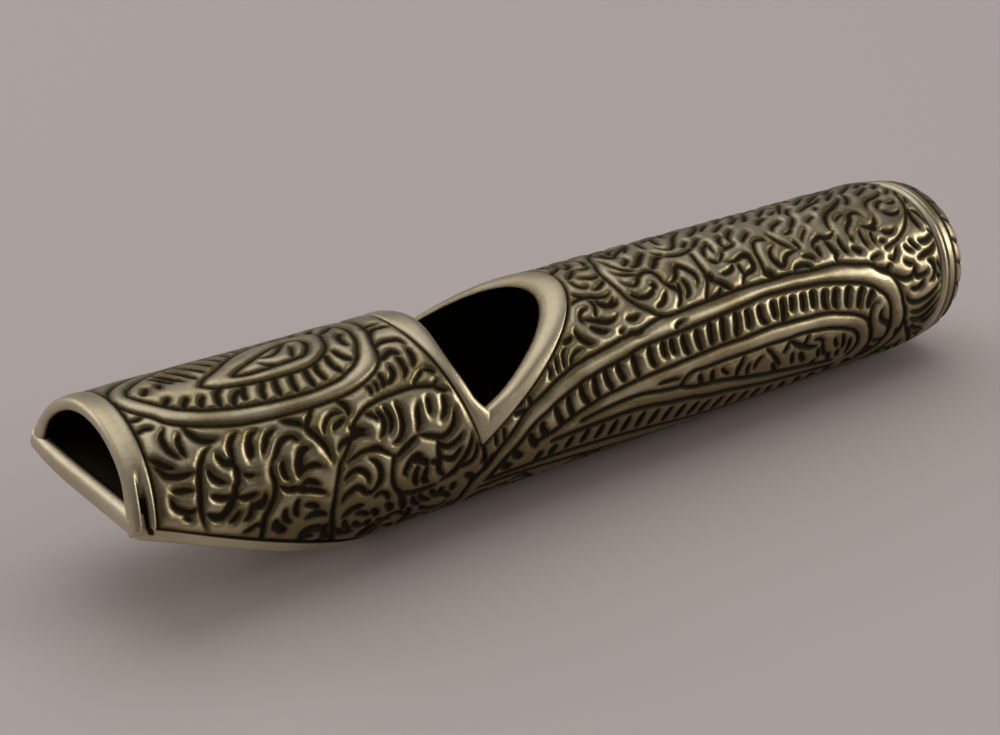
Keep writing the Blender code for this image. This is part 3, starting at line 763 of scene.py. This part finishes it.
def silverMaterial(name, finish, bump):
    material = bpy.data.materials.new(name)
    material.use_nodes = True
    nodes, links = material.node_tree.nodes, material.node_tree.links
    shader = nodes["Principled BSDF"]
    shader.inputs["Specular IOR Level"].default_value = patina["specular"]
    group = nodes.new("ShaderNodeGroup")
    group.node_tree = agedSilver
    for key, value in finish.items():
        group.inputs[key].default_value = value
    sunk = nodes.new("ShaderNodeAttribute")
    sunk.attribute_name = "sunk"
    links.new(sunk.outputs["Fac"], group.inputs["Sunk"])
    bumpNode = nodes.new("ShaderNodeBump")
    bumpNode.inputs["Strength"].default_value = bump
    bumpNode.inputs["Distance"].default_value = patina["bumpDistance"]
    links.new(group.outputs["Height"], bumpNode.inputs["Height"])
    links.new(bumpNode.outputs["Normal"], shader.inputs["Normal"])
    links.new(group.outputs["Color"], shader.inputs["Base Color"])
    for key in ("Roughness", "Metallic"):
        links.new(group.outputs[key], shader.inputs[key])
    return material


chasedSilver = silverMaterial("chasedSilver", chasedFinish, 0.7)
plainSilver = silverMaterial("plainSilver", plainFinish, 0.9)
borePaintedShade = silverMaterial("borePaintedShade", boreShadeFinish, 0.6)
print("finishes ready")


def fullTurn(count):
    return roundStart + np.arange(count) * 2 * math.pi / count


def shellRadius(along):
    # the straight tube, drawn in a little before the ring
    t = np.clip((along - tube["shoulder"]) / (tube["end"] - tube["shoulder"]), 0, 1)
    return 1.0 - tube["shoulderDrop"] * t**2


def barrelShell(name, front, rear, columns):
    # carved outside, plain bore painted with shade, both ends closed
    front, rear, turns = front[:, None], rear[:, None], rowTurns[:, None]
    t = np.linspace(0, 1, columns + 1)
    along = front * (1 - t) + rear * t
    turnGrid = np.broadcast_to(turns, along.shape)
    outer = place(along, turnGrid, shellRadius(along) + readMap(heightMap, along, turnGrid))
    inner = 1.0 - tube["wall"] / tube["radius"]
    back = np.linspace(1, 0, tube["boreColumns"] + 1)
    alongIn = front * (1 - back) + rear * back
    bore = place(alongIn, turns, np.minimum(inner, shellRadius(alongIn) - tube["shoulderWall"]))
    grid = np.concatenate([outer, bore], axis=1)
    # the bore is marked fully dark: painted shade
    sunk = np.concatenate([readMap(stainMap, along, turnGrid), np.ones(alongIn.shape)], axis=1)
    last = grid.shape[1] - 1
    faceSlot = np.where(np.arange(last + 1) < columns, 0, 1)
    creases = (0, columns, columns + 1, last)
    return sweep(name, grid, sunk, [chasedSilver, borePaintedShade], creases, faceSlot=faceSlot)


rowTurns = fullTurn(tube["rows"])
heights = np.sin(rowTurns)
seam = seamAlong(rowTurns)
aboveSeam = heights > math.sin(math.radians(windowPoint))
beakFront = np.maximum(onPlane("bandRear", heights), onPlane("soleSeam", heights))
beakRear = np.where(aboveSeam, onPlane("frontGroove", heights) + flankBow(rowTurns), seam)
chamberFront = np.where(aboveSeam, onPlane("rearGroove", heights), seam)
chamberRear = np.full_like(heights, tube["end"])
for name, front, rear, columns in (
    ("beakShell", beakFront, beakRear, tube["beakColumns"]),
    ("chamberShell", chamberFront, chamberRear, tube["chamberColumns"]),
):
    seat(barrelShell(name, front, rear, columns), "barrel_tube")
print("barrel shells made")

# plain frame round the window; its section gives the share of the way from the outer groove to the opening,
# the drop below the surface and the darkness: dark in the outer groove, painted shade down the wall into the
# opening
windowFrame = {
    "samples": 260,
    "overlap": 0.012,
    "pointHeight": 0.30,
    "pointFrom": 28,
    "pointSpan": 10.5,
    "pointRound": 0.085,
    "section": (
        (0.00, 0.105, 1.0), (0.00, 0.040, 0.9), (0.03, 0.026, 0.55), (0.08, 0.012, 0.2), (0.15, 0.004, 0.05),
        (0.25, 0.000, 0.0), (0.42, 0.000, 0.0), (0.58, 0.000, 0.0), (0.70, 0.002, 0.0), (0.80, 0.007, 0.0),
        (0.89, 0.015, 0.0), (0.96, 0.026, 0.0), (1.00, 0.038, 0.1), (1.00, 0.050, 0.3), (1.00, 0.068, 0.45),
        (1.00, 0.090, 0.8), (0.80, 0.094, 1.0), (0.40, 0.094, 1.0),
    ),
}


def makeWindowFrame():
    # one closed strip: along the front from the near point over the top to the far point, back along the rear
    t = np.linspace(0, 1, windowFrame["samples"], endpoint=False)
    # the samples crowd at the two points of the window
    spread = 0.5 * t + 0.5 * (0.5 - 0.5 * np.cos(np.pi * t))
    outerPoint, innerPoint = math.radians(windowPoint), math.asin(windowFrame["pointHeight"])
    outerTurn = outerPoint + (math.pi - 2 * outerPoint) * spread
    innerTurn = innerPoint + (math.pi - 2 * innerPoint) * spread
    strips = []
    for outerPlane, innerPlane, sideways in (("frontGroove", "frontEdge", -1), ("rearGroove", "labium", 1)):
        rows = []
        for share, drop, dark in windowFrame["section"]:
            turn = outerTurn * (1 - share) + innerTurn * share
            if sideways > 0:
                turn = math.pi - turn
            reach = 1.0 - drop
            high = np.sin(turn) * reach
            outside = onPlane(outerPlane, high) + sideways * windowFrame["overlap"]
            # the opening closes to a small rounded point low on either side
            below = (windowFrame["pointFrom"] - foldOver(turn)) / windowFrame["pointSpan"]
            point = windowFrame["pointRound"] * np.clip(below, 0, 1) ** 1.5
            inside = onPlane(innerPlane, high) - sideways * point
            if sideways < 0:
                outside = outside + flankBow(turn)
                inside = inside + topBow(turn)
            rows.append(place(outside * (1 - share) + inside * share, turn, reach))
        strips.append(np.stack(rows, axis=1))
    grid = np.concatenate(strips, axis=0)
    sunk = np.broadcast_to([dark for share, drop, dark in windowFrame["section"]], grid.shape[:2])
    return sweep("windowFrame", grid, sunk, [plainSilver], (0, 15))


seat(makeWindowFrame(), "window_frame")

# plain band round the mouth, with a sunk line near its two ends, in degrees and radii; its section gives the
# share of the way from the mouth's face to the rear line, the drop below the tube, the part of the sunk line
# and the darkness: painted shade in the sunk line and on the face turned in towards the bore, a dark joint at
# the rear edge
mouthBand = {
    "samples": 200,
    "start": 11.0,
    "stop": 158.0,
    "recess": 0.095,
    "recessFrom": 24,
    "recessTo": 46,
    "blackFrom": 28,
    "blackTo": 36,
    "endSpan": 3.5,
    "endRound": 0.045,
    "innerFrom": 0.06,
    "thicker": 0.9,
    "blackGain": 3,
    "recessShade": 0.6,
    "section": (
        (1.06, 0.085, 0.0, 1.0), (1.06, 0.045, 0.0, 1.0), (1.00, 0.034, 0.0, 0.8), (0.96, 0.018, 0.0, 0.5),
        (0.90, 0.007, 0.0, 0.2), (0.82, 0.002, 0.0, 0.12), (0.74, 0.0, 0.1, 0.15), (0.67, 0.0, 0.6, 0.18),
        (0.60, 0.0, 1.0, 0.2), (0.50, 0.001, 1.0, 0.2), (0.42, 0.002, 0.7, 0.18), (0.35, 0.004, 0.15, 0.12),
        (0.27, 0.006, 0.0, 0.05), (0.18, 0.010, 0.0, 0.0), (0.10, 0.017, 0.0, 0.0), (0.04, 0.028, 0.0, 0.0),
        (0.00, 0.044, 0.0, 0.0), (-0.02, 0.062, 0.0, 0.0), (-0.02, 0.080, 0.0, 0.0), (0.00, 0.096, 0.0, 0.0),
        (0.04, 0.110, 0.0, 0.2), (0.10, 0.121, 0.0, 0.6), (0.18, 0.127, 0.0, 1.0), (0.30, 0.122, 0.0, 1.0),
        (0.55, 0.100, 0.0, 1.0), (0.80, 0.093, 0.0, 1.0),
    ),
}


def makeMouthBand():
    degrees = np.linspace(mouthBand["start"], mouthBand["stop"], mouthBand["samples"])
    turns = np.radians(degrees)
    fold = foldOver(turns)
    sunkLine = smoothStep((mouthBand["recessTo"] - fold) / (mouthBand["recessTo"] - mouthBand["recessFrom"]))
    blackSpan = mouthBand["blackTo"] - mouthBand["blackFrom"]
    blackLine = np.clip((mouthBand["blackTo"] - fold) / blackSpan, 0, 1)
    # both ends are rounded off
    fromEnd = np.clip(np.minimum(degrees - degrees[0], degrees[-1] - degrees) / mouthBand["endSpan"], 0, 1)
    endRound = mouthBand["endRound"] * (1 - np.sqrt(1 - (1 - fromEnd) ** 2))
    rows = []
    marks = []
    for share, drop, part, dark in mouthBand["section"]:
        thicker = mouthBand["thicker"] * max(0.0, drop - mouthBand["innerFrom"]) * sunkLine
        reach = 1.0 - drop - thicker - part * sunkLine * mouthBand["recess"]
        if drop < mouthBand["innerFrom"]:
            reach = reach - endRound
        high = np.sin(turns) * reach
        along = onPlane("mouth", high) * (1 - share) + onPlane("bandRear", high) * share
        rows.append(place(along, turns, reach))
        # painted shade: the slot in the sunk line is set black
        black = min(1.0, mouthBand["blackGain"] * part) * blackLine
        marks.append(np.maximum(dark, np.maximum(black, mouthBand["recessShade"] * part * sunkLine)))
    grid, sunk = np.stack(rows, axis=1), np.stack(marks, axis=1)
    return sweep("mouthBand", grid, sunk, [plainSilver], (0,), closeRows=False)


seat(makeMouthBand(), "mouth_band")

# ring before the closed end; its section gives the share of its length, the distance from the axis and the
# darkness
endRing = {
    "from": 10.304,
    "to": 10.420,
    "samples": 192,
    "section": (
        (0.0, 0.89, 1.0), (0.0, 0.920, 0.8), (0.06, 0.938, 0.3), (0.17, 0.952, 0.0), (0.32, 0.961, 0.0),
        (0.50, 0.965, 0.0), (0.66, 0.961, 0.0), (0.80, 0.952, 0.0), (0.92, 0.939, 0.3), (1.0, 0.922, 0.8),
        (1.0, 0.89, 1.0),
    ),
}


def makeEndRing():
    turns = fullTurn(endRing["samples"])
    rows = []
    for share, reach, dark in endRing["section"]:
        rows.append(place(endRing["from"] * (1 - share) + endRing["to"] * share, turns, reach))
    grid = np.stack(rows, axis=1)
    sunk = np.broadcast_to([dark for share, reach, dark in endRing["section"]], grid.shape[:2])
    return sweep("endRing", grid, sunk, [plainSilver], (0, 10))


seat(makeEndRing(), "end_ring")

# cap of the closed end; leaf rings: from and to along its meridian, number of leaves, lean
endCap = {
    "from": 10.436,
    "length": 0.496,
    "radius": 0.949,
    "roundness": 0.2,
    "pole": 0.004,
    "samples": 384,
    "columns": 110,
    "skirt": (0.03, 0.88),
    "chasing": 0.014,
    "leafCut": 0.012,
    "rimCut": 0.008,
    "leaves": ((0.10, 0.42, 22, 0.5), (0.42, 0.70, 16, -0.5), (0.74, 0.97, 9, 0.3)),
}


def makeEndCap():
    turns = fullTurn(endCap["samples"])
    ease = np.sin(np.linspace(0, 1, endCap["columns"]) * math.pi / 2)
    along = endCap["from"] + endCap["length"] * ease
    reach = endCap["radius"] * np.clip(1 - ease**2.0, 0, 1) ** endCap["roundness"]
    reach[-1] = endCap["pole"]  # a tiny opening keeps the faces at the pole whole
    way = np.concatenate([[0.0], np.cumsum(np.hypot(np.diff(along), np.diff(reach)))])
    total = way[-1]
    gaps = np.full((len(turns), len(way)), farOff)
    for first, last, leaves, lean in endCap["leaves"]:
        share = (way / total - first) / (last - first)
        inside = (share > -0.05) & (share < 1.05)
        pitch = 2 * math.pi / leaves
        phase = turns[:, None] / pitch + lean * share
        gap = np.abs(phase - np.round(phase)) * pitch * reach - endCap["leafCut"]
        rim = np.abs(way - first * total) - endCap["rimCut"]
        gaps = np.minimum(gaps, np.minimum(np.where(inside, gap, farOff), rim))
    sink = endCap["chasing"] * hollow(gaps)
    # outward direction across the dome
    stepAlong, stepReach = np.gradient(along), np.gradient(reach)
    size = np.hypot(stepAlong, stepReach)
    outAlong, outReach = -stepReach / size, stepAlong / size
    outAlong[-1], outReach[-1] = 1.0, 0.0
    grid = place(along - sink * outAlong, turns[:, None], np.maximum(reach - sink * outReach, 0.003))
    back, skirtReach = endCap["skirt"]
    skirt = place(endCap["from"] - back, turns, skirtReach)[:, None, :]
    grid = np.concatenate([skirt, grid], axis=1)
    sunk = np.concatenate([np.ones((len(turns), 1)), 0.9 * stained(gaps)], axis=1)
    return sweep("endCap", grid, sunk, [chasedSilver], closeColumns=False)


seat(makeEndCap(), "end_cap")

# the lip turns up at its far end
lip = {"top": 0.389, "drop": 0.040, "farEnd": 0.12, "reach": 0.45}
mouthLean = planes["mouth"][1]


def lipShift(along, across):
    fade = max(0.0, 1 - along / lip["reach"]) ** 2
    return fade * (lip["farEnd"] * max(0.0, across) ** 3 - lip["drop"])


# flat sole under the beak: its sides follow the tube, its thick front is the lip; lead holds the first
# sections, which round the lip over: way back from the front, then what goes off its top and its underside
sole = {
    "front": 0.016,
    "behindLip": 0.125,
    "sections": 150,
    "rounding": 0.035,
    "roundFull": 0.08,
    "sideInset": 1.5,
    "underCut": 0.03,
    "narrow": 0.2,
    "leanReach": 0.25,
    "tuck": 0.02,
    "tuckReach": 0.30,
    "lead": (
        (0.0, 0.084, 0.064), (0.0, 0.066, 0.046), (0.003, 0.050, 0.034), (0.010, 0.034, 0.022),
        (0.022, 0.018, 0.012), (0.040, 0.007, 0.004), (0.062, 0.001, 0.0), (0.085, 0.002, 0.0),
        (0.105, 0.012, 0.0),
    ),
}


def makeSole():
    low, high = planes["sole"][0], planes["soleSeam"][0]
    fall = -planes["sole"][1]
    front = sole["front"]
    plan = [(front + back, lip["top"] - off, up) for back, off, up in sole["lead"]]
    for spot in np.linspace(front + sole["behindLip"], high + fall, sole["sections"]):
        plan.append((spot, max((high - spot) / fall, -1.0), 0.0))
    rows = []
    for spot, top, inset in plan:
        bottom = max((low - spot) / fall, -1.0) + inset
        top = max(top, bottom)
        near = np.linspace(top, bottom + sole["rounding"] * min(1, (top - bottom) / sole["roundFull"]), 5)
        side = [(-math.sqrt(max(0.0, 1 - z * z)) * (1 - inset * sole["sideInset"]), z) for z in near]
        width = side[-1][0]
        drop = near[-1] - bottom
        for part in (0.3, 0.6, 0.85, 1.0):
            bend = math.radians(90 * part)
            y = width * (1 - sole["underCut"] * (1 - math.cos(bend)) * min(1, abs(width) / sole["narrow"]))
            side.append((y, near[-1] - drop * math.sin(bend)))
        half = side + [(side[-1][0] * k, bottom) for k in (0.75, 0.5, 0.25)]
        outline = half + [(0.0, bottom)] + [(-y, z) for y, z in half[::-1]]
        outline += [(-side[0][0] * k, top) for k in (0.75, 0.5, 0.25, 0.0, -0.25, -0.5, -0.75)]
        lean = mouthLean * max(0.0, 1 - (spot - front) / sole["leanReach"])
        tuck = 1 - sole["tuck"] * max(0.0, 1 - spot / sole["tuckReach"]) ** 1.5
        points = []
        for y, z in outline:
            along = spot + lean * (z - bottom)
            z += lipShift(spot, y)
            edge = math.sqrt(max(0.0, 1 - z * z))
            points.append((along, max(-edge, min(edge, y)) * tuck, z))
        rows.append(points)
    grid = toWorld(*np.moveaxis(np.array(rows), -1, 0))
    sunk = np.zeros(grid.shape[:2])
    # painted shade on top behind the lip, and where the sides lie open behind the mouth band
    sunk[7:, 25:] = 1.0
    sunk[8:12, :3] = 1.0
    sunk[8:12, 22:25] = 1.0
    return sweep("solePlate", grid, sunk, [plainSilver], (0, 24), closeRows=False)


seat(makeSole(), "sole_plate")

# windway floor: starts behind the lip and lies in the dark, painted fully dark as shade; lead holds the way
# back and the rounding of its first sections
windway = {
    "front": 0.090,
    "end": 3.438,
    "frontTop": 0.315,
    "endTop": 0.727,
    "thick": 0.13,
    "clearance": 0.005,
    "leanShare": 8,
    "behindFront": 0.25,
    "sections": 40,
    "sideInset": 0.3,
    "lead": ((0.0, 0.034), (0.006, 0.018), (0.016, 0.008), (0.03, 0.002), (0.05, 0), (0.09, 0), (0.15, 0)),
}


def makeWindwayFloor():
    first, last = windway["front"], windway["end"]
    plan = [(first + back, inset) for back, inset in windway["lead"]]
    plan += [(spot, 0.0) for spot in np.linspace(first + windway["behindFront"], last, windway["sections"])]
    bore = 1.0 - tube["wall"] / tube["radius"] - windway["clearance"]
    rows = []
    for spot, inset in plan:
        share = (spot - first) / (last - first)
        crown = windway["frontTop"] + (windway["endTop"] - windway["frontTop"]) * share
        top, bottom = crown - inset, crown - windway["thick"]
        narrower = inset * windway["sideInset"]
        side = [(-(math.sqrt(bore * bore - z * z) - narrower), z) for z in np.linspace(top, bottom, 4)]
        half = [(side[0][0] * k, top) for k in (0.0, 0.4, 0.75, 0.95)] + side
        half += [(side[-1][0] * k, bottom) for k in (0.75, 0.4)]
        outline = half + [(0.0, bottom)] + [(-y, z) for y, z in half[:0:-1]]
        lean = mouthLean * max(0, 1 - share * windway["leanShare"])
        rows.append([(spot + lean * (z - bottom), y, z + lipShift(spot, y)) for y, z in outline])
    grid = toWorld(*np.moveaxis(np.array(rows), -1, 0))
    # painted shade over the whole floor
    return sweep("windwayFloor", grid, np.ones(grid.shape[:2]), [plainSilver], closeRows=False)


seat(makeWindwayFloor(), "windway_floor")

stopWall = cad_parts["stop_wall"]
# the stop wall takes the painted shade of the bore
stopWall.data.materials.clear()
stopWall.data.materials.append(borePaintedShade)
print("plain pieces made")

# pale floor
table = {"half": 1.5, "color": (0.565, 0.503, 0.487, 1), "roughness": 0.50, "specular": 0.30}
corners = [(x * table["half"], y * table["half"], 0) for x, y in ((-1, -1), (1, -1), (1, 1), (-1, 1))]
floorMesh = bpy.data.meshes.new("floor")
floorMesh.from_pydata(corners, [], [(0, 1, 2, 3)])
floor = bpy.data.objects.new("floor", floorMesh)
bpy.context.scene.collection.objects.link(floor)
floorMaterial = bpy.data.materials.new("paleTable")
floorMaterial.use_nodes = True
floorShader = floorMaterial.node_tree.nodes["Principled BSDF"]
floorShader.inputs["Base Color"].default_value = table["color"]
floorShader.inputs["Roughness"].default_value = table["roughness"]
floorShader.inputs["Specular IOR Level"].default_value = table["specular"]
floorMesh.materials.append(floorMaterial)

# big soft sky, brighter behind and above, dim on the near side
sky = {
    "toward": (-0.34, 0.42, 0.84),
    "dimAt": -0.45,
    "brightAt": 0.90,
    "dim": (0.035, 0.034, 0.032, 1),
    "bright": (0.38, 0.37, 0.38, 1),
}
world = bpy.data.worlds.new("studio")
bpy.context.scene.world = world
world.use_nodes = True
skyNodes, skyLinks = world.node_tree.nodes, world.node_tree.links
skySpot = skyNodes.new("ShaderNodeTexCoord")
skyDot = skyNodes.new("ShaderNodeVectorMath")
skyDot.operation = "DOT_PRODUCT"
skyDot.inputs[1].default_value = sky["toward"]
skyRange = skyNodes.new("ShaderNodeMapRange")
skyRange.interpolation_type = "SMOOTHSTEP"
skyRange.inputs["From Min"].default_value = sky["dimAt"]
skyRange.inputs["From Max"].default_value = sky["brightAt"]
skyMix = skyNodes.new("ShaderNodeMix")
skyMix.data_type = "RGBA"
skyMix.inputs[6].default_value = sky["dim"]
skyMix.inputs[7].default_value = sky["bright"]
skyLinks.new(skySpot.outputs["Generated"], skyDot.inputs[0])
skyLinks.new(skyDot.outputs["Value"], skyRange.inputs["Value"])
skyLinks.new(skyRange.outputs["Result"], skyMix.inputs[0])
skyLinks.new(skyMix.outputs[2], skyNodes["Background"].inputs["Color"])
skyNodes["Background"].inputs["Strength"].default_value = 1.0


def softLight(name, position, aim, size, power, color):
    lamp = bpy.data.lights.new(name, "AREA")
    lamp.shape = "RECTANGLE"
    lamp.size, lamp.size_y = size
    lamp.energy = power
    lamp.color = color
    obj = bpy.data.objects.new(name, lamp)
    obj.location = position
    obj.rotation_euler = (Vector(aim) - Vector(position)).to_track_quat("-Z", "Y").to_euler()
    bpy.context.scene.collection.objects.link(obj)


softLight("backWindow", (-0.38, 0.54, 0.32), (0, 0.05, 0), (0.55, 0.28), 0.9, (1.0, 0.955, 0.985))
softLight("highWindow", (0.03, 0.12, 0.50), (0, 0, 0), (0.62, 0.62), 1.03, (1.0, 0.97, 0.94))
softLight("sideWindow", (0.86, -0.42, 0.26), (0.02, 0, 0), (0.44, 0.34), 3.05, (1.0, 0.955, 0.86))
print("light ready")

camera = {
    "place": (-0.06423, -0.07165, 0.04895),
    "right": (0.77819, -0.62725, 0.03137),
    "down": (-0.23900, -0.34196, -0.90882),
    "forward": (0.58078, 0.69974, -0.41602),
    "lens": 67.597,
    "sensor": 36.0,
}
view = bpy.data.cameras.new("camera")
view.sensor_fit = "HORIZONTAL"
view.sensor_width = camera["sensor"]
view.lens = camera["lens"]
view.clip_start = 0.001
viewObject = bpy.data.objects.new("camera", view)
right, down, forward = (Vector(camera[key]) for key in ("right", "down", "forward"))
facing = Matrix((right, -down, -forward)).transposed().to_4x4()
viewObject.matrix_world = Matrix.Translation(camera["place"]) @ facing
bpy.context.scene.collection.objects.link(viewObject)
bpy.context.scene.camera = viewObject
bpy.context.scene.view_settings.view_transform = "Standard"
